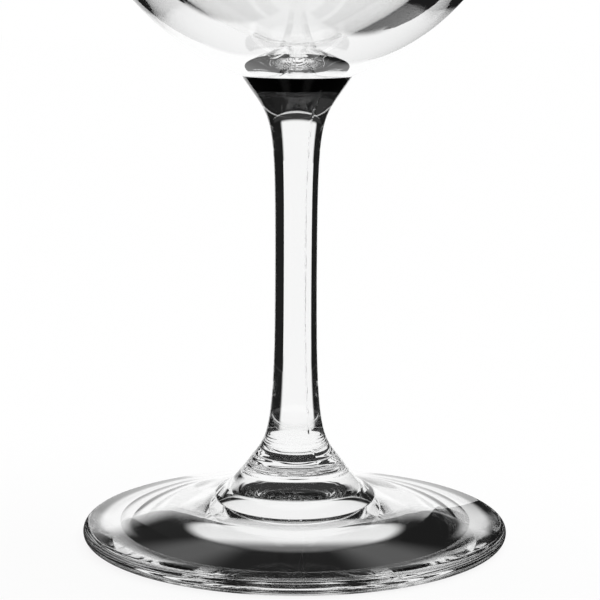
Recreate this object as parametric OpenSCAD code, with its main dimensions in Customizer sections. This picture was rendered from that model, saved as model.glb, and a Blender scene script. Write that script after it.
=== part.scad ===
// White wine glass: a blown bowl, a pressed stem and a pressed foot, fused face to face

/* [Foot] */
// Diameter of the foot
foot_d = 73; // [60:0.5:90]
// Thickness of the foot at its rounded edge
foot_edge_t = 2.7; // [2:0.1:4]
// Height of the foot, from the table to its joint with the stem
foot_h = 13.5; // [11:0.1:18]
// Slope of the foot's top where it meets the edge, in degrees from level
foot_slope = 8.5; // [4:0.5:14]
// Length over which the foot's top leaves the edge nearly straight
foot_plate_run = 6.6; // [3:0.1:12]
// Diameter of the place where the hub turns into the foot's top
foot_bend_d = 24.2; // [20:0.1:30]
// Height of that place above the table
foot_bend_h = 8.7; // [7:0.1:12]
// Slope of the surface at that place, in degrees from level
foot_bend_slope = 23; // [14:0.5:35]
// Length over which the top leaves that place nearly straight, outwards
foot_bend_out = 2.9; // [1:0.1:6]
// Length over which the hub reaches that place nearly straight, from inside
foot_bend_in = 1.4; // [0.5:0.1:3]
// Length over which the hub leaves the joint nearly straight
foot_hub_run = 1.4; // [0.5:0.1:3]
// Width of the flat ring that the glass stands on
stand_w = 5.5; // [2:0.1:8]
// Height of the shallow dome under the foot
hollow_h = 5; // [2:0.1:5.5]
// Diameter of the deeper dimple in the middle of the dome
dimple_d = 25.8; // [16:0.1:30]
// Depth of the dimple above the dome
dimple_h = 3; // [0.5:0.1:3.5]

/* [Stem] */
// Length of the stem between its two joints
stem_h = 65.5; // [45:0.5:110]
// Diameter of the stem at its slimmest
waist_d = 7.15; // [5:0.05:10]
// Height of the slimmest place above the joint with the foot
waist_h = 32; // [20:0.5:55]
// Diameter of the joint with the foot
foot_joint_d = 15.5; // [12:0.1:22]
// Flare at the foot, in degrees from upright
foot_flare = 38; // [20:1:55]
// Length over which the flare at the foot bends
foot_flare_run = 5; // [2:0.5:10]
// Diameter of the joint with the bowl
bowl_joint_d = 18.5; // [14:0.1:26]
// Flare at the bowl, in degrees from upright
bowl_flare = 33; // [20:1:55]
// Length over which the flare at the bowl bends
bowl_flare_run = 9.5; // [3:0.5:14]
// Share of the way from the slimmest place to a joint along which the stem stays slim
slim_share = 0.87; // [0.5:0.01:0.95]

/* [Bowl] */
// Height of the bowl, from its joint with the stem to the rim
bowl_h = 114; // [90:1:150]
// Diameter of the bowl at its widest
bowl_d = 76; // [66:0.5:100]
// Height of the widest place above the joint with the stem
belly_h = 43; // [30:0.5:55]
// Rise of the bowl's underside where it leaves the stem, in degrees from level
base_rise = 21; // [10:1:35]
// Length over which the underside leaves the stem nearly straight
base_run = 15; // [8:0.5:20]
// Length over which the outside turns upright below the widest place
belly_run = 24.5; // [12:0.5:30]
// Length over which the bowl starts to draw in above the widest place
shoulder_run = 28; // [15:1:40]
// Diameter of the mouth, outside
rim_d = 59; // [50:0.5:75]
// Length over which the wall runs up to the rim
rim_run = 26; // [10:1:40]
// Inward lean of the wall at the rim, in degrees from upright
rim_lean = 11; // [0:0.5:16]
// Thickness of the wall at its widest place
wall_t = 1.3; // [0.9:0.1:2.5]
// Thickness of the fire-polished rim
rim_t = 1.1; // [0.8:0.1:2]
// Thickness of the glass under the middle of the bowl
base_t = 4; // [3:0.1:8]
// Length over which the inside of the bowl is nearly level at the bottom
inside_run = 13; // [8:0.5:28]
// Length over which the inside turns upright below the widest place
inside_belly_run = 24; // [12:0.5:30]

/* [Hidden] */
$fn = 180;
// Number of straight steps in each curve and in each rounded edge
curve_steps = 28;
edge_steps = 12;

foot_r = foot_d / 2;
edge_r = foot_edge_t / 2;
foot_joint = [foot_joint_d / 2, foot_h];
bowl_joint = [bowl_joint_d / 2, foot_h + stem_h];
waist = [waist_d / 2, foot_h + waist_h];
belly = [bowl_d / 2, bowl_joint.y + belly_h];
rim_r = rim_t / 2;
rim_centre = [rim_d / 2 - rim_r, bowl_joint.y + bowl_h - rim_r];
glass_colour = [0.86, 0.88, 0.88, 0.45];

// Direction that leans outwards from upright by an angle
function leaning(angle) = [sin(angle), cos(angle)];

// Direction that rises from level by an angle
function rising(angle) = [cos(angle), sin(angle)];

// Points on the smooth curve that leaves a towards b and reaches d from c
function curve(a, b, c, d) = [
    for (i = [0 : curve_steps])
        let (t = i / curve_steps, s = 1 - t)
        s * s * s * a + 3 * s * s * t * b + 3 * s * t * t * c + t * t * t * d
];

// Points on a rounded edge about a centre, from one angle to another
function rounded(centre, radius, start, end) = [
    for (i = [0 : edge_steps])
        centre + radius * rising(start + (end - start) * i / edge_steps)
];

// Points of a stretch without its last one, which the next stretch starts with
function open_end(points) = [for (i = [0 : len(points) - 2]) points[i]];

// Height of the foot's underside at a radius: the dome, and the dimple in its middle
function underside(r, stand_r) =
    hollow_h * (1 - pow(r / stand_r, 2)) + dimple_h * max(0, 1 - pow(2 * r / dimple_d, 2));

// Points of the underside from one radius to another
function hollow_points(from_r, to_r, stand_r) = [
    for (i = [0 : curve_steps])
        let (r = from_r + (to_r - from_r) * i / curve_steps)
        [r, underside(r, stand_r)]
];

// Outline of the foot: joint, hub and top, rounded edge, standing ring, dome, dimple
function foot_outline() =
    let (
        edge_centre = [foot_r - edge_r, edge_r],
        edge_top = edge_centre + edge_r * leaning(foot_slope),
        bend = [foot_bend_d / 2, foot_bend_h],
        bend_lean = rising(-foot_bend_slope),
        hub_leave = foot_joint + foot_hub_run * [sin(foot_flare), -cos(foot_flare)],
        plate_bend = edge_top + foot_plate_run * rising(180 - foot_slope),
        stand_r = edge_centre.x - stand_w
    )
    concat(
        [[0, foot_joint.y]],
        open_end(curve(foot_joint, hub_leave, bend - foot_bend_in * bend_lean, bend)),
        open_end(curve(bend, bend + foot_bend_out * bend_lean, plate_bend, edge_top)),
        rounded(edge_centre, edge_r, 90 - foot_slope, -90),
        open_end(hollow_points(stand_r, dimple_d / 2, stand_r)),
        hollow_points(dimple_d / 2, 0, stand_r)
    );

// Outline of the stem: joint with the foot, lower flare, waist, upper flare, joint with the bowl
function stem_outline() =
    let (
        lower_slim = waist - [0, slim_share * waist_h],
        lower_bend = foot_joint - foot_flare_run * [sin(foot_flare), -cos(foot_flare)],
        upper_slim = waist + [0, slim_share * (stem_h - waist_h)],
        upper_bend = bowl_joint - bowl_flare_run * leaning(bowl_flare)
    )
    concat(
        [[0, foot_joint.y]],
        open_end(curve(foot_joint, lower_bend, lower_slim, waist)),
        curve(waist, upper_slim, upper_bend, bowl_joint),
        [[0, bowl_joint.y]]
    );

// Outline of the bowl: joint with the stem, outside, rounded rim, inside
function bowl_outline() =
    let (
        inner_belly = belly - [wall_t, 0],
        inner_base = [0, bowl_joint.y + base_t],
        outer_rim = rim_centre + [rim_r, 0],
        inner_rim = rim_centre - [rim_r, 0],
        base_bend = bowl_joint + base_run * rising(base_rise),
        shoulder_bend = [0, shoulder_run],
        rim_bend = rim_run * [sin(rim_lean), -cos(rim_lean)]
    )
    concat(
        [[0, bowl_joint.y]],
        open_end(curve(bowl_joint, base_bend, belly - [0, belly_run], belly)),
        open_end(curve(belly, belly + shoulder_bend, outer_rim + rim_bend, outer_rim)),
        open_end(rounded(rim_centre, rim_r, 0, 180)),
        open_end(curve(inner_rim, inner_rim + rim_bend, inner_belly + shoulder_bend, inner_belly)),
        curve(inner_belly, inner_belly - [0, inside_belly_run], inner_base + [inside_run, 0], inner_base)
    );

module foot() {
    color(glass_colour) rotate_extrude() polygon(foot_outline());
}

module stem() {
    color(glass_colour) rotate_extrude() polygon(stem_outline());
}

module bowl() {
    color(glass_colour) rotate_extrude() polygon(bowl_outline());
}

foot();
stem();
bowl();
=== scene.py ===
"""White wine glass: the looks of its bowl, stem and foot.

The three pieces are turned in clear glass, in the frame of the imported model, and shown on a white sweep.
"""

import logging
import math
from dataclasses import dataclass, field
from enum import Enum, IntEnum
from typing import Any, Union

import bmesh
import bpy
from mathutils import Euler, Matrix, Vector
from mathutils.geometry import interpolate_bezier


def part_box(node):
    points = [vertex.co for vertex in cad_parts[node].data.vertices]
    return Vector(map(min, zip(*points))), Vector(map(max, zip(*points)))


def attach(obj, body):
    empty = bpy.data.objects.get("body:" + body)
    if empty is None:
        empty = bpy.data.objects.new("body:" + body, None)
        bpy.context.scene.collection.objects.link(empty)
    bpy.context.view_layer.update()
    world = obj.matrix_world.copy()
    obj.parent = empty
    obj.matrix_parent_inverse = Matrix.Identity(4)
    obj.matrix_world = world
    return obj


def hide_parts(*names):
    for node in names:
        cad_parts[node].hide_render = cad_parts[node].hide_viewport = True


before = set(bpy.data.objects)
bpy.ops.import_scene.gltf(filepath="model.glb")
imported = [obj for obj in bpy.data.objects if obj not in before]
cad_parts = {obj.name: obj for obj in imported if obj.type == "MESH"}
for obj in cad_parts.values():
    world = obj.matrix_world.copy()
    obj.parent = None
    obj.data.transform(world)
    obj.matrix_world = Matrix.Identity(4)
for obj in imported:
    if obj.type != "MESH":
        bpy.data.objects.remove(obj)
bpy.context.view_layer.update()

MM: float = 0.001
CENTRE: tuple[float, float, float] = (0.0, 0.0, 0.0)
UP: tuple[float, float, float] = (0.0, 0.0, 1.0)
log = logging.getLogger("wine_glass")


class Skin(IntEnum):
    """Material slots of a glass piece."""

    CLEAR = 0
    FUSED = 1


class Ray(Enum):
    """What a shader can ask about the ray that meets it, by the names of Light Path's sockets."""

    CAMERA = "Is Camera Ray"
    THROUGH_GLASS = "Is Transmission Ray"
    MIRRORED = "Is Glossy Ray"
    GLASS_FACES = "Transmission Depth"
    MIRRORS = "Glossy Depth"


class Value:
    """A shader socket that takes part in Python arithmetic, adding a Math node for each operation."""

    def __init__(self, graph: "Graph", socket: bpy.types.NodeSocket | None) -> None:
        """Wraps a socket.

        Args:
            graph: The graph that the socket's node is in.
            socket: The output socket to wrap.
        """
        self.graph = graph
        self.socket = socket

    def _math(self, operation: str, first: "Number", second: "Number" = 0.0) -> "Value":
        """Adds one Math node.

        Args:
            operation: The Math node's operation.
            first: The first operand.
            second: The second operand, where there is one.

        Returns:
            The node's result.
        """
        return self.graph.add("ShaderNodeMath", {"operation": operation}, {0: first, 1: second})

    def __add__(self, other: "Number") -> "Value":
        """Self plus other."""
        return self._math("ADD", self, other)

    def __radd__(self, other: "Number") -> "Value":
        """Other plus self."""
        return self._math("ADD", other, self)

    def __sub__(self, other: "Number") -> "Value":
        """Self minus other."""
        return self._math("SUBTRACT", self, other)

    def __rsub__(self, other: "Number") -> "Value":
        """Other minus self."""
        return self._math("SUBTRACT", other, self)

    def __mul__(self, other: "Number") -> "Value":
        """Self times other."""
        return self._math("MULTIPLY", self, other)

    def __rmul__(self, other: "Number") -> "Value":
        """Other times self."""
        return self._math("MULTIPLY", other, self)

    def __truediv__(self, other: "Number") -> "Value":
        """Self over other."""
        return self._math("DIVIDE", self, other)

    def __rtruediv__(self, other: "Number") -> "Value":
        """Other over self."""
        return self._math("DIVIDE", other, self)

    def __or__(self, other: "Number") -> "Value":
        """The larger of self and other, so that masks can be joined."""
        return self._math("MAXIMUM", self, other)

    def __ror__(self, other: "Number") -> "Value":
        """The larger of other and self."""
        return self._math("MAXIMUM", other, self)

    def __abs__(self) -> "Value":
        """Self without its sign."""
        return self._math("ABSOLUTE", self)

    def __lt__(self, other: "Number") -> "Value":
        """1 where self is below other, and 0 elsewhere."""
        return self._math("LESS_THAN", self, other)

    def __gt__(self, other: "Number") -> "Value":
        """1 where self is above other, and 0 elsewhere."""
        return self._math("GREATER_THAN", self, other)


Number = Union[Value, float]


class Graph:
    """A node tree that is filled from Python."""

    def __init__(self, tree: bpy.types.NodeTree) -> None:
        """Empties a node tree.

        Args:
            tree: The tree of a material or of the world.
        """
        self.tree = tree
        tree.nodes.clear()

    def add(
        self,
        kind: str,
        settings: dict[str, Any] | None = None,
        inputs: dict[Union[str, int], Any] | None = None,
        output: Union[str, int] = 0,
    ) -> Value:
        """Adds any node.

        Args:
            kind: The node's type.
            settings: Its settings, set before its sockets.
            inputs: Values or links of its sockets, by name or number.
            output: The socket to return, by name or number.

        Returns:
            The chosen output, or an empty value for a node that ends the graph.
        """
        node = self.tree.nodes.new(kind)
        for name, setting in (settings or {}).items():
            setattr(node, name, setting)
        for name, value in (inputs or {}).items():
            if isinstance(value, Value):
                self.tree.links.new(value.socket, node.inputs[name])
            else:
                node.inputs[name].default_value = value
        return Value(self, node.outputs[output] if node.outputs else None)

    def ease(self, value: Value, low: float, high: float) -> Value:
        """Rises smoothly from 0 to 1.

        Args:
            value: What it depends on.
            low: Where it starts to rise.
            high: Where it reaches 1.

        Returns:
            A value from 0 to 1.
        """
        return self.add(
            "ShaderNodeMapRange",
            {"interpolation_type": "SMOOTHSTEP"},
            {"Value": value, "From Min": low, "From Max": high},
        )

    def past(self, value: Value, edge: float, soft: float) -> Value:
        """1 past an edge and 0 before it, with a soft change of so much to each side."""
        return self.ease(value, edge - soft, edge + soft)

    def split(self, vector: Value) -> tuple[Value, Value, Value]:
        """Takes a vector apart.

        Args:
            vector: A place or a direction.

        Returns:
            Its X, Y and Z.
        """
        first = self.add("ShaderNodeSeparateXYZ", None, {0: vector})
        x, y, z = (Value(self, part) for part in first.socket.node.outputs)
        return x, y, z

    def azimuth(self, aside: Value, ahead: Value) -> Value:
        """Angle from straight ahead towards the side."""
        return self.add("ShaderNodeMath", {"operation": "ARCTAN2"}, {0: aside, 1: ahead})

    def wrap(self, angle: Value, half: float) -> Value:
        """Brings an angle into the range from minus half to plus half."""
        return self.add("ShaderNodeMath", {"operation": "WRAP"}, {0: angle, 1: half, 2: -half})

    def ray(self, question: Ray) -> Value:
        """Answer to a question about the ray that meets the surface."""
        return self.add("ShaderNodeLightPath", output=question.value)


def new_material(name: str) -> tuple[bpy.types.Material, Graph]:
    """Makes an empty material.

    Args:
        name: The material's name.

    Returns:
        The material, and its graph to fill.
    """
    made = bpy.data.materials.new(name)
    made.use_nodes = True
    return made, Graph(made.node_tree)


def new_object(name: str, bm: bmesh.types.BMesh) -> bpy.types.Object:
    """Puts a finished mesh into the scene.

    Args:
        name: Name of the object and of its mesh.
        bm: The mesh, which is freed.

    Returns:
        The new object.
    """
    mesh = bpy.data.meshes.new(name)
    bm.to_mesh(mesh)
    bm.free()
    made = bpy.data.objects.new(name, mesh)
    bpy.context.scene.collection.objects.link(made)
    return made


@dataclass(frozen=True)
class Mottle:
    """A soft irregular pattern: its size, its finer layers, and the levels where it starts and is full."""

    size: float
    layers: float
    start: float = 0.0
    full: float = 1.0

    def pattern(self, graph: Graph, place: Value) -> Value:
        """The plain pattern, from about 0 to 1."""
        sockets = {"Vector": place, "Scale": 1 / self.size, "Detail": self.layers}
        return graph.add("ShaderNodeTexNoise", None, sockets)

    def patches(self, graph: Graph, place: Value) -> Value:
        """Only the high places of the pattern, from 0 to 1."""
        return graph.ease(self.pattern(graph, place), self.start, self.full)


@dataclass(frozen=True)
class MouldSeam:
    """The raised line where the two halves of the stem's mould met, at the front and at the back.

    It bends away from its azimuth above and below its middle. It wavers with a finer tremor, and its height
    goes up and down in lumps that swell and fade.
    """

    azimuth: float = math.radians(24)
    twist: float = math.radians(9)
    middle: float = 46 * MM
    reach: float = 33 * MM
    height: float = 0.16 * MM
    width: float = 0.2 * MM
    unevenness: float = 0.3
    lump: float = 2.3 * MM
    swell_rate: float = 0.37
    swell_start: float = 0.8
    waver: float = math.radians(0.8)
    waver_length: float = 21 * MM
    tremor: float = 0.4
    tremor_rate: float = 3.1
    tremor_start: float = 1.0
    crest_low: float = 20 * MM
    crest_high: float = 77 * MM
    crest_fade: float = 3 * MM
    crest_half: float = 0.16 * MM
    crest_core: float = 2 / 3

    def line(self, z: Number) -> Number:
        """Azimuth of the seam at a height, for the mesh and for the shader alike."""
        off_middle = (z - self.middle) / self.reach
        return off_middle * off_middle * self.twist + self.azimuth

    def lift(self, azimuth: float, radius: float, z: float) -> float:
        """Height of the seam over the smooth surface.

        Args:
            azimuth: Angle from the front, towards +X.
            radius: Radius of the smooth surface there.
            z: Height over the table.

        Returns:
            How far the surface stands out.
        """
        turn = math.tau * z / self.waver_length
        tremor = self.tremor * math.sin(self.tremor_rate * turn + self.tremor_start)
        line = self.line(z) + self.waver * (math.sin(turn) + tremor)
        lumps = math.tau * z / self.lump
        uneven = math.sin(lumps) * math.sin(self.swell_rate * lumps + self.swell_start)
        height = self.height * (1 + self.unevenness * uneven)
        lift = 0.0
        for side in (0.0, math.pi):
            away = math.remainder(azimuth - line - side, math.tau) * radius
            lift += height * math.exp(-((away / self.width) ** 2))
        return lift

    def crest(self, graph: Graph, place: Value) -> Value:
        """Picks out the crest of the seam in a shader.

        Args:
            graph: The graph to add to.
            place: Where on the glass.

        Returns:
            1 on the crest, at the front and at the back, and 0 beside it.
        """
        x, y, z = graph.split(place)
        # Half a turn is wrapped on to the other half, so that one line stands for both sides.
        turned = graph.wrap(graph.azimuth(x, 0.0 - y) - self.line(z), math.pi / 2)
        radius = graph.add("ShaderNodeMath", {"operation": "SQRT"}, {0: x * x + y * y})
        crest = 1 - graph.ease(abs(turned) * radius, self.crest_core * self.crest_half, self.crest_half)
        crest = crest * graph.ease(z, self.crest_low, self.crest_low + self.crest_fade)
        return crest * (1 - graph.ease(z, self.crest_high - self.crest_fade, self.crest_high))


@dataclass(frozen=True)
class FuseRings:
    """The shallow rings round the place where the stem was pressed on to the foot.

    They sway up and down round the stem, once and twice in a turn, and have finer rings between them.
    """

    low: float = 10.2 * MM
    high: float = 16.4 * MM
    depth: float = 0.025 * MM
    spacing: float = 1.05 * MM
    sway: float = 0.9
    sway_start: float = 0.6
    second_sway: float = 0.5
    second_start: float = 2.1
    finer: float = 0.45
    finer_rate: float = 1.73

    def lift(self, azimuth: float, z: float) -> float:
        """Height of the rings over the smooth surface.

        Args:
            azimuth: Angle from the front, towards +X.
            z: Height over the table.

        Returns:
            How far the surface stands out.
        """
        if not self.low < z < self.high:
            return 0.0
        fade = math.sin(math.pi * (z - self.low) / (self.high - self.low))
        sway = self.sway * math.sin(azimuth + self.sway_start)
        sway += self.second_sway * math.sin(2 * azimuth + self.second_start)
        turn = math.tau * z / self.spacing
        finer = self.finer * math.sin(self.finer_rate * turn - sway)
        return self.depth * fade * (math.sin(turn + sway) + finer)


@dataclass(frozen=True)
class ClearGlass:
    """Clear pressed and blown glass.

    It has the faint waviness that a mould and a flame leave, thin smears, scuffing where it stands on the
    table, and haze on the grainy crest of the mould seam.
    """

    name: str
    seam: MouldSeam
    ior: float = 1.5
    tint: tuple[float, float, float] = (0.997, 0.999, 0.998)
    wave: Mottle = Mottle(9.0 * MM, 1.0)
    wave_depth: float = 0.012 * MM
    ripple: Mottle = Mottle(1.6 * MM, 2.0)
    ripple_depth: float = 0.0008 * MM
    smear: Mottle = Mottle(14.0 * MM, 3.0, 0.55, 0.75)
    smear_haze: float = 0.012
    scuff: Mottle = Mottle(0.5 * MM, 4.0, 0.48, 0.66)
    scuff_haze: float = 0.1
    scuff_height: float = 0.15 * MM
    grain: Mottle = Mottle(0.7 * MM, 1.0, 0.36, 0.6)
    seam_haze: float = 0.6

    def material(self) -> bpy.types.Material:
        """Makes the material.

        Returns:
            The new material.
        """
        made, graph = new_material(self.name)
        place = graph.add("ShaderNodeTexCoord", output="Object")
        wave = self.wave.pattern(graph, place) * self.wave_depth
        ripple = self.ripple.pattern(graph, place) * self.ripple_depth
        height = wave + ripple
        bump = graph.add("ShaderNodeBump", None, {"Height": height, "Strength": 1.0, "Distance": 1.0})
        smear = self.smear.patches(graph, place) * self.smear_haze
        z = graph.split(place)[2]
        standing = 1 - graph.ease(z, 0.0, self.scuff_height)
        scuff = standing * self.scuff.patches(graph, place) * self.scuff_haze
        seam = self.seam.crest(graph, place) * self.grain.patches(graph, place) * self.seam_haze
        shader = graph.add(
            "ShaderNodeBsdfPrincipled",
            None,
            {
                "Base Color": (*self.tint, 1.0),
                "Transmission Weight": 1.0,
                "IOR": self.ior,
                "Roughness": smear | scuff | seam,
                "Normal": bump,
            },
        )
        graph.add("ShaderNodeOutputMaterial", None, {"Surface": shader})
        return made


@dataclass(frozen=True)
class FusedFace:
    """The flat face inside a fused joint, where the glass goes on unbroken, so nothing shows."""

    name: str

    def material(self) -> bpy.types.Material:
        """Makes the material.

        Returns:
            The new material.
        """
        made, graph = new_material(self.name)
        shader = graph.add("ShaderNodeBsdfPrincipled", None, {"Alpha": 0.0})
        graph.add("ShaderNodeOutputMaterial", None, {"Surface": shader})
        return made


def upright(angle: float) -> Vector:
    """Direction that leans outwards from upright by an angle."""
    return Vector((math.sin(angle), math.cos(angle)))


def falling(angle: float) -> Vector:
    """Direction that leans outwards from straight down by an angle."""
    return Vector((math.sin(angle), -math.cos(angle)))


def level(angle: float) -> Vector:
    """Direction that rises outwards from level by an angle."""
    return Vector((math.cos(angle), math.sin(angle)))


@dataclass(frozen=True)
class FusedJoint:
    """A place where two pieces are fused: radius of the flat faces, and flare of the stem from upright."""

    radius: float
    flare: float


FOOT_JOINT = FusedJoint(7.75 * MM, math.radians(38))
BOWL_JOINT = FusedJoint(9.25 * MM, math.radians(33))


@dataclass
class TurnedPiece:
    """A piece of the glass: an outline turned round the upright axis, with its own fine surface form."""

    node: str
    steps: int = 88
    edge_steps: int = 20
    doublings: int = 4
    sector_steps: int = 16
    merge: float = 1e-4 * MM
    joint_slack: float = 0.001 * MM
    joint_level: float = 0.999
    low: Vector = field(init=False)
    high: Vector = field(init=False)

    def __post_init__(self) -> None:
        """Takes the piece's lowest and highest corners from the frame."""
        self.low, self.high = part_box(self.node)

    def outline(self) -> list[Vector]:
        """Points of the outline, as radius and height, from the axis to the axis."""
        raise NotImplementedError

    def joints(self) -> list[float]:
        """Heights of the flat fused faces."""
        raise NotImplementedError

    def lift(self, azimuth: float, radius: float, z: float) -> float:
        """How far the fine surface form stands out at a place; none by default."""
        return 0.0

    def bend(self, start: Vector, leave: Vector, arrive: Vector, end: Vector) -> list[Vector]:
        """A smooth stretch of outline.

        Args:
            start: First point.
            leave: Point that the curve leaves towards.
            arrive: Point that the curve arrives from.
            end: Last point.

        Returns:
            The points from start up to, but without, end.
        """
        return interpolate_bezier(start, leave, arrive, end, self.steps + 1)[:-1]

    def rounding(self, centre: Vector, radius: float, first: float, last: float) -> list[Vector]:
        """A rounded edge of the outline.

        Args:
            centre: Centre of the arc.
            radius: Radius of the arc.
            first: First angle, from level outwards.
            last: Last angle.

        Returns:
            The points, both ends included.
        """
        angles = [first + (last - first) * i / self.edge_steps for i in range(self.edge_steps + 1)]
        return [centre + radius * level(angle) for angle in angles]

    def build(self) -> bpy.types.Object:
        """Turns the outline into a closed mesh: one sector is spun, and doubled until it closes the circle.

        Returns:
            The new object.
        """
        bm = bmesh.new()
        ring = [bm.verts.new((point.x, 0.0, point.y)) for point in self.outline()]
        edges = [bm.edges.new(pair) for pair in zip(ring, ring[1:])]
        angle = math.tau / 2**self.doublings
        bmesh.ops.spin(bm, geom=ring + edges, angle=angle, steps=self.sector_steps, cent=CENTRE, axis=UP)
        for _ in range(self.doublings):
            copy = bmesh.ops.duplicate(bm, geom=bm.verts[:] + bm.edges[:] + bm.faces[:])
            verts = [item for item in copy["geom"] if isinstance(item, bmesh.types.BMVert)]
            bmesh.ops.rotate(bm, verts=verts, cent=CENTRE, matrix=Matrix.Rotation(angle, 3, "Z"))
            angle *= 2
        bmesh.ops.remove_doubles(bm, verts=bm.verts, dist=self.merge)
        bmesh.ops.recalc_face_normals(bm, faces=bm.faces)
        self._shape_surface(bm)
        self._mark_skins(bm)
        return new_object(f"glass_{self.node}", bm)

    def _shape_surface(self, bm: bmesh.types.BMesh) -> None:
        """Lifts the fine surface form out of the smooth mesh.

        Args:
            bm: The turned mesh.
        """
        for vert in bm.verts:
            radius = math.hypot(vert.co.x, vert.co.y)
            if radius > 0:
                lift = self.lift(math.atan2(vert.co.x, -vert.co.y), radius, vert.co.z)
                vert.co.xy *= (radius + lift) / radius

    def _mark_skins(self, bm: bmesh.types.BMesh) -> None:
        """Gives each face its slot, smooths it and keeps the fused faces' borders sharp.

        Args:
            bm: The turned mesh.
        """
        heights = self.joints()
        for face in bm.faces:
            face.smooth = True
            z = face.calc_center_median().z
            flat = abs(face.normal.z) > self.joint_level
            fused = flat and any(abs(z - height) < self.joint_slack for height in heights)
            face.material_index = Skin.FUSED if fused else Skin.CLEAR
        for edge in bm.edges:
            skins = {face.material_index for face in edge.link_faces}
            edge.smooth = len(skins) == 1

    def dress(self, piece: bpy.types.Object, clear: bpy.types.Material, fused: bpy.types.Material) -> None:
        """Gives the piece its materials and its place in the frame.

        Args:
            piece: The built piece.
            clear: Material of the outside.
            fused: Material of the fused faces.
        """
        piece.data.materials.append(clear)
        piece.data.materials.append(fused)
        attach(piece, "root")
        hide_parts(self.node)


@dataclass
class Foot(TurnedPiece):
    """The pressed foot: hub, sloping top, rounded edge, standing ring and hollow underside."""

    joint: FusedJoint = FOOT_JOINT
    rings: FuseRings = FuseRings()
    hub_run: float = 1.4 * MM
    bend_radius: float = 12.1 * MM
    bend_height: float = 8.7 * MM
    bend_fall: float = math.radians(23)
    bend_in: float = 1.4 * MM
    bend_out: float = 2.9 * MM
    plate_run: float = 6.6 * MM
    slope: float = math.radians(8.5)
    edge_thickness: float = 2.7 * MM
    stand_width: float = 5.5 * MM
    hollow: float = 5.0 * MM
    dimple: float = 3.0 * MM
    dimple_radius: float = 12.9 * MM

    def joints(self) -> list[float]:
        """Height of the face on top of the hub."""
        return [self.high.z]

    def outline(self) -> list[Vector]:
        """Runs from the hub's joint, over the top and the edge, to the middle of the hollow.

        Returns:
            The points of the outline, as radius and height.
        """
        joint = Vector((self.joint.radius, self.high.z))
        hub_leave = joint + self.hub_run * falling(self.joint.flare)
        middle = Vector((self.bend_radius, self.bend_height))
        lean = level(-self.bend_fall)
        edge = self.edge_thickness / 2
        edge_centre = Vector((self.high.x - edge, edge))
        edge_top = edge_centre + edge * upright(self.slope)
        plate_bend = edge_top - self.plate_run * level(-self.slope)
        return [
            Vector((0, self.high.z)),
            *self.bend(joint, hub_leave, middle - self.bend_in * lean, middle),
            *self.bend(middle, middle + self.bend_out * lean, plate_bend, edge_top),
            *self.rounding(edge_centre, edge, math.pi / 2 - self.slope, -math.pi / 2),
            *self._underside(edge_centre.x - self.stand_width),
        ]

    def _underside(self, stand: float) -> list[Vector]:
        """Points of the hollow, from the standing ring to the axis.

        Args:
            stand: Inner radius of the standing ring.

        Returns:
            The points, both ends included.
        """
        shares = [i / self.steps for i in range(self.steps)]
        outer = [stand + (self.dimple_radius - stand) * share for share in shares]
        inner = [self.dimple_radius * (1 - share) for share in shares]
        points = []
        for radius in [*outer, *inner, 0.0]:
            dome = self.hollow * (1 - (radius / stand) ** 2)
            dimple = self.dimple * max(0.0, 1 - (radius / self.dimple_radius) ** 2)
            points.append(Vector((radius, dome + dimple)))
        return points

    def lift(self, azimuth: float, radius: float, z: float) -> float:
        """Rings on the hub, where the stem was pressed on."""
        return self.rings.lift(azimuth, z)


@dataclass
class Stem(TurnedPiece):
    """The pressed stem: slim in the middle, flared at both ends, with a mould seam on two sides."""

    steps: int = 72
    sector_steps: int = 32
    foot_joint: FusedJoint = FOOT_JOINT
    bowl_joint: FusedJoint = BOWL_JOINT
    rings: FuseRings = FuseRings()
    seam: MouldSeam = MouldSeam()
    foot_run: float = 5 * MM
    waist_radius: float = 3.575 * MM
    waist_height: float = 32 * MM
    slim_share: float = 0.87
    bowl_run: float = 9.5 * MM
    seam_foot: float = 8 * MM
    seam_top: float = 5 * MM

    def joints(self) -> list[float]:
        """Heights of the faces on the foot and under the bowl."""
        return [self.low.z, self.high.z]

    def outline(self) -> list[Vector]:
        """Runs from the joint with the foot up to the joint with the bowl.

        Returns:
            The points of the outline, as radius and height.
        """
        bottom = Vector((self.foot_joint.radius, self.low.z))
        bottom_bend = bottom - self.foot_run * falling(self.foot_joint.flare)
        waist = Vector((self.waist_radius, self.low.z + self.waist_height))
        under_waist = Vector((0, self.slim_share * self.waist_height))
        top = Vector((self.bowl_joint.radius, self.high.z))
        top_bend = top - self.bowl_run * upright(self.bowl_joint.flare)
        over_waist = Vector((0, self.slim_share * (top.y - waist.y)))
        return [
            Vector((0, bottom.y)),
            *self.bend(bottom, bottom_bend, waist - under_waist, waist),
            *self.bend(waist, waist + over_waist, top_bend, top),
            top,
            Vector((0, top.y)),
        ]

    def lift(self, azimuth: float, radius: float, z: float) -> float:
        """The mould seam, which fades out towards the joints, and the rings at the foot.

        Args:
            azimuth: Angle from the front, towards +X.
            radius: Radius of the smooth surface there.
            z: Height over the table.

        Returns:
            How far the surface stands out.
        """
        fade = min(1.0, (self.high.z - z) / self.seam_top, (z - self.low.z) / self.seam_foot)
        return fade * self.seam.lift(azimuth, radius, z) + self.rings.lift(azimuth, z)


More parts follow.
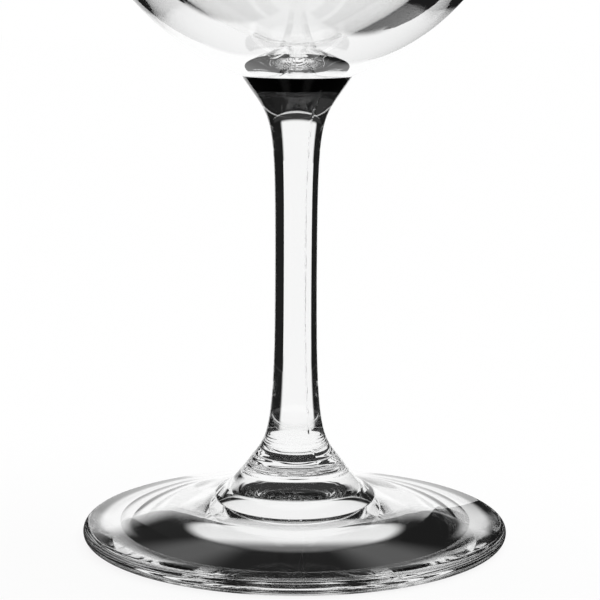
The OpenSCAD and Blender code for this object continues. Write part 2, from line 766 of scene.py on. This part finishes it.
@dataclass
class Bowl(TurnedPiece):
    """The blown bowl: thick base, wide belly, wall that draws in to a fire-polished rim."""

    steps: int = 72
    joint: FusedJoint = BOWL_JOINT
    belly_height: float = 43 * MM
    base_rise: float = math.radians(21)
    base_run: float = 15 * MM
    belly_run: float = 24.5 * MM
    shoulder_run: float = 28 * MM
    rim_radius: float = 29.5 * MM
    rim_run: float = 26 * MM
    rim_lean: float = math.radians(11)
    wall: float = 1.3 * MM
    rim_thickness: float = 1.1 * MM
    base: float = 4 * MM
    inside_run: float = 13 * MM
    inside_belly_run: float = 24 * MM

    def joints(self) -> list[float]:
        """Height of the face on the stem."""
        return [self.low.z]

    def outline(self) -> list[Vector]:
        """Runs from the joint with the stem, up the outside, over the rim and down the inside.

        Returns:
            The points of the outline, as radius and height.
        """
        joint = Vector((self.joint.radius, self.low.z))
        base_leave = joint + self.base_run * level(self.base_rise)
        belly = Vector((self.high.x, self.low.z + self.belly_height))
        under_belly = belly - Vector((0, self.belly_run))
        shoulder = Vector((0, self.shoulder_run))
        rim = self.rim_thickness / 2
        rim_centre = Vector((self.rim_radius - rim, self.high.z - rim))
        outer_rim = rim_centre + Vector((rim, 0))
        inner_rim = rim_centre - Vector((rim, 0))
        under_rim = self.rim_run * falling(self.rim_lean)
        inner_belly = belly - Vector((self.wall, 0))
        under_inner_belly = inner_belly - Vector((0, self.inside_belly_run))
        inner_base = Vector((0, self.low.z + self.base))
        beside_base = inner_base + Vector((self.inside_run, 0))
        return [
            Vector((0, self.low.z)),
            *self.bend(joint, base_leave, under_belly, belly),
            *self.bend(belly, belly + shoulder, outer_rim + under_rim, outer_rim),
            *self.rounding(rim_centre, rim, 0.0, math.pi)[:-1],
            *self.bend(inner_rim, inner_rim + under_rim, inner_belly + shoulder, inner_belly),
            *self.bend(inner_belly, under_inner_belly, beside_base, inner_base),
            inner_base,
        ]


@dataclass(frozen=True)
class Stretch:
    """A stretch round the glass: its middle as an azimuth, half its width and its soft edge.

    The azimuth is counted from straight behind the glass, towards +X.
    """

    turn: float
    half: float
    soft: float = math.radians(3)


@dataclass(frozen=True)
class Surroundings:
    """What the floor, the cards and the sky share: a bright field behind the glass, and dark elsewhere."""

    behind: Stretch = Stretch(math.radians(-5), math.radians(29))
    dark: float = 0.012
    both_walls: float = 3.5
    no_mirror: float = 0.5

    def within(self, graph: Graph, x: Value, y: Value, stretches: tuple[Stretch, ...]) -> Value:
        """Picks out some stretches round the glass.

        Args:
            graph: The graph to add to.
            x: Sideways place or direction.
            y: Place or direction away from the camera.
            stretches: The stretches that count.

        Returns:
            1 in the stretches and 0 beside them.
        """
        azimuth = graph.azimuth(x, y)
        inside: Number = 0.0
        for stretch in stretches:
            aside = abs(graph.wrap(azimuth - stretch.turn, math.pi))
            inside = (1 - graph.past(aside, stretch.half, stretch.soft)) | inside
        return inside

    def over_dark(self, bright: Value) -> Value:
        """Lifts a brightness so that its lowest level is the dark of the surroundings."""
        return bright * (1 - self.dark) + self.dark

    def straight(self, graph: Graph) -> Value:
        """1 for what is seen through the glass with no mirror image in between, and 0 for the rest."""
        return graph.ray(Ray.THROUGH_GLASS) * (graph.ray(Ray.MIRRORS) < self.no_mirror)

    def seen_behind(self, graph: Graph) -> Value:
        """1 for what the camera sees, bare or through both walls of the bowl, and 0 for the rest."""
        return graph.ray(Ray.CAMERA) | (graph.ray(Ray.GLASS_FACES) > self.both_walls)


@dataclass
class Floor:
    """The pale sweep: white to the camera; where the glass shows it, painted with light and shade by place.

    Under the foot it has a painted shadow at the front and painted light at the back. Round that it is
    dark, apart from the bright field behind, two patches of painted light at the front and a painted ring
    of caustic light inside the foot's edge. Farther away it is white again.
    """

    around: Surroundings
    radius: float = 3.0
    sides: int = 96
    air_gap: float = 0.02 * MM
    paint: float = 0.9
    glow: float = 0.9
    # The painted pool under the foot: its size, the line between its painted shadow at the front and its
    # painted light at the back, and their brightness.
    under_radius: float = 17.8 * MM
    under_soft: float = 1.5 * MM
    under_line: float = -11.5 * MM
    painted_shadow_front: float = 0.168
    painted_light_back: float = 1.0
    line_soft: float = 4 * MM
    # The painted ring of caustic light inside the foot's edge: its brightness, its radii, its soft edge and
    # where it fades out at the front.
    ring: float = 0.9
    painted_ring_low: float = 28.5 * MM
    painted_ring_high: float = 33.2 * MM
    painted_ring_soft: float = 1 * MM
    painted_ring_line: float = -8 * MM
    # The two patches of painted light on the floor at the front: their brightness and their stretches.
    painted_patch_light: float = 0.1
    patches: tuple[Stretch, ...] = (
        Stretch(math.radians(143), math.radians(13), math.radians(9)),
        Stretch(math.radians(-138), math.radians(13), math.radians(9)),
    )
    far: float = 130 * MM
    far_behind: float = 70 * MM
    far_soft: float = 20 * MM

    def build(self) -> None:
        """Lays the floor just under the glass."""
        bm = bmesh.new()
        bmesh.ops.create_circle(bm, cap_ends=True, radius=self.radius, segments=self.sides)
        bmesh.ops.translate(bm, verts=bm.verts, vec=(0.0, 0.0, -self.air_gap))
        floor = new_object("floor", bm)
        floor.data.materials.append(self._material())

    def _material(self) -> bpy.types.Material:
        """Makes the floor's material, whose share of plain paint keeps the shadow of the glass.

        Returns:
            The new material.
        """
        made, graph = new_material("white_sweep")
        camera = graph.ray(Ray.CAMERA)
        glass = graph.ray(Ray.THROUGH_GLASS) | graph.ray(Ray.MIRRORED)
        colour = (self.paint, self.paint, self.paint, 1.0)
        paint = graph.add("ShaderNodeBsdfDiffuse", None, {"Color": colour})
        shade = self._shade(graph) | camera
        glow = graph.add("ShaderNodeEmission", None, {"Color": shade, "Strength": 1.0})
        share = camera * self.glow | glass
        mixed = graph.add("ShaderNodeMixShader", None, {0: share, 1: paint, 2: glow})
        graph.add("ShaderNodeOutputMaterial", None, {"Surface": mixed})
        return made

    def _shade(self, graph: Graph) -> Value:
        """Works out the painted light and shade that the glass shows on the floor.

        Args:
            graph: The graph to add to.

        Returns:
            The brightness, by place.
        """
        place = graph.add("ShaderNodeTexCoord", output="Object")
        x, y, _ = graph.split(place)
        away = graph.add("ShaderNodeVectorMath", {"operation": "LENGTH"}, {0: place}, "Value")
        # Painted shadow under the foot at the front, and painted light at the back.
        back = graph.past(y, self.under_line, self.line_soft)
        under = back * (self.painted_light_back - self.painted_shadow_front) + self.painted_shadow_front
        far = graph.past(away, self.far, self.far_soft) * self.around.straight(graph)
        open_floor = self.around.within(graph, x, y, (self.around.behind,)) | far
        clear = graph.past(away, self.under_radius, self.under_soft)
        bright = clear * open_floor + (1 - clear) * under
        # A painted ring of caustic light on the floor inside the foot's edge.
        ring = graph.past(away, self.painted_ring_low, self.painted_ring_soft)
        ring = ring * (1 - graph.past(away, self.painted_ring_high, self.painted_ring_soft))
        ring = ring * graph.past(y, self.painted_ring_line, self.line_soft)
        # Two patches of painted light on the floor at the front.
        patches = clear * self.around.within(graph, x, y, self.patches)
        bright = bright | ring * self.ring | patches * self.painted_patch_light
        beyond = graph.past(away, self.far_behind, self.far_soft)
        return self.around.over_dark(bright) | self.around.seen_behind(graph) * beyond


@dataclass
class DarkCards:
    """The curved dark cards that draw the stem's dark edges; only the glass shows them."""

    around: Surroundings
    cards: tuple[Stretch, ...] = (
        Stretch(math.radians(61), math.radians(37)),
        Stretch(math.radians(-66), math.radians(32)),
    )
    radius: float = 115 * MM
    height: float = 95 * MM
    steps: int = 24

    def build(self) -> None:
        """Stands the cards round the glass."""
        bm = bmesh.new()
        for card in self.cards:
            first = card.turn - card.half
            foot = bm.verts.new((self.radius * math.sin(first), self.radius * math.cos(first), 0.0))
            head = bm.verts.new((foot.co.x, foot.co.y, self.height))
            upright_edge = [foot, head, bm.edges.new((foot, head))]
            # Seen from above, a spin turns against the clock, and azimuth runs with it.
            sweep = -2 * card.half
            bmesh.ops.spin(bm, geom=upright_edge, angle=sweep, steps=self.steps, cent=CENTRE, axis=UP)
        cards = new_object("dark_cards", bm)
        cards.visible_camera = False
        cards.visible_diffuse = False
        cards.visible_shadow = False
        made, graph = new_material("dark_card")
        shade = self.around.seen_behind(graph) | self.around.dark
        glow = graph.add("ShaderNodeEmission", None, {"Color": shade, "Strength": 1.0})
        graph.add("ShaderNodeOutputMaterial", None, {"Surface": glow})
        cards.data.materials.append(made)


@dataclass
class Sky:
    """The world round the scene, white to the camera.

    The glass shows a bright field behind it, low panels at the sides and in front, and a faint light
    overhead. What is seen low down through both walls of the bowl is white.
    """

    around: Surroundings
    behind_top: float = math.radians(20)
    panels: tuple[Stretch, ...] = (
        Stretch(math.radians(90), math.radians(14)),
        Stretch(math.radians(-90), math.radians(14)),
        Stretch(math.radians(180), math.radians(60)),
    )
    panel_top: float = math.radians(12)
    overhead: Stretch = Stretch(math.radians(-33), math.radians(80))
    overhead_low: float = math.radians(22)
    overhead_high: float = math.radians(69)
    overhead_light: float = 0.04
    low: float = math.radians(16)
    soft: float = math.radians(3)

    def build(self) -> None:
        """Sets the world."""
        world = bpy.data.worlds.new("studio")
        bpy.context.scene.world = world
        world.use_nodes = True
        graph = Graph(world.node_tree)
        shade = self._shade(graph) | graph.ray(Ray.CAMERA)
        sky = graph.add("ShaderNodeBackground", None, {"Color": shade, "Strength": 1.0})
        graph.add("ShaderNodeOutputWorld", None, {"Surface": sky})

    def _shade(self, graph: Graph) -> Value:
        """Works out how bright the sky is to the glass.

        Args:
            graph: The graph to add to.

        Returns:
            The brightness, by direction.
        """
        x, y, z = graph.split(graph.add("ShaderNodeTexCoord", output="Generated"))
        elevation = graph.add("ShaderNodeMath", {"operation": "ARCSINE"}, {0: z})
        behind = self.around.within(graph, x, y, (self.around.behind,))
        behind = behind * (1 - graph.past(elevation, self.behind_top, self.soft))
        panels = self.around.within(graph, x, y, self.panels)
        panels = panels * (1 - graph.past(elevation, self.panel_top, self.soft))
        panels = panels * self.around.straight(graph)
        overhead = self.around.within(graph, x, y, (self.overhead,))
        overhead = overhead * graph.past(elevation, self.overhead_low, self.soft)
        overhead = overhead * (1 - graph.past(elevation, self.overhead_high, self.soft))
        bright = self.around.over_dark(behind | panels) | overhead * self.overhead_light
        low = 1 - graph.past(elevation, self.low, self.soft)
        return bright | self.around.seen_behind(graph) * low


@dataclass
class SoftLight:
    """The soft light that evens out the floor and casts the shadow of the glass."""

    strength: float = 3.6
    spread: float = math.radians(70)
    tilt: tuple[float, float, float] = (math.radians(-20), math.radians(12), 0.0)

    def build(self) -> None:
        """Hangs the light, which the glass itself doesn't show."""
        data = bpy.data.lights.new("soft_light", "SUN")
        data.energy = self.strength
        data.angle = self.spread
        lamp = bpy.data.objects.new("soft_light", data)
        lamp.rotation_euler = self.tilt
        lamp.visible_glossy = False
        lamp.visible_transmission = False
        bpy.context.scene.collection.objects.link(lamp)


@dataclass
class Viewpoint:
    """The camera, at the photograph's viewpoint."""

    place: tuple[float, float, float] = (0.7 * MM, -328.9 * MM, 94.3 * MM)
    pitch: float = math.radians(9.2)
    roll: float = math.radians(0.33)
    focal: float = 117.3
    sensor: float = 36.0

    def build(self) -> None:
        """Sets up the camera, tipped down by its pitch."""
        data = bpy.data.cameras.new("camera")
        data.lens = self.focal
        data.sensor_width = self.sensor
        camera = bpy.data.objects.new("camera", data)
        camera.location = self.place
        aim = Euler((math.pi / 2 - self.pitch, 0.0, 0.0)).to_matrix()
        roll = Euler((0.0, 0.0, self.roll)).to_matrix()
        camera.rotation_euler = (aim @ roll).to_euler()
        bpy.context.scene.collection.objects.link(camera)
        bpy.context.scene.camera = camera


@dataclass
class Studio:
    """The floor, the cards, the sky, the light and the camera, and the bounces that thick glass needs."""

    around: Surroundings = Surroundings()
    glass_bounces: int = 32
    mirror_bounces: int = 16

    def build(self) -> None:
        """Sets up the studio."""
        around = self.around
        for item in (Floor(around), DarkCards(around), Sky(around), SoftLight(), Viewpoint()):
            item.build()
        scene = bpy.context.scene
        scene.view_settings.view_transform = "Standard"
        scene.cycles.max_bounces = self.glass_bounces
        scene.cycles.transmission_bounces = self.glass_bounces
        scene.cycles.glossy_bounces = self.mirror_bounces
        scene.cycles.transparent_max_bounces = self.glass_bounces


def main() -> None:
    """Builds the glass and the studio, and reports each piece."""
    logging.basicConfig(level=logging.INFO, format="%(name)s: %(message)s")
    seam = MouldSeam()
    clear = ClearGlass("clear_glass", seam).material()
    fused = FusedFace("fused_face").material()
    for part in (Foot("foot"), Stem("stem", seam=seam), Bowl("bowl")):
        piece = part.build()
        part.dress(piece, clear, fused)
        log.info("%s: %d faces, replaces %s", piece.name, len(piece.data.polygons), part.node)
    Studio().build()


if __name__ == "__main__":
    main()
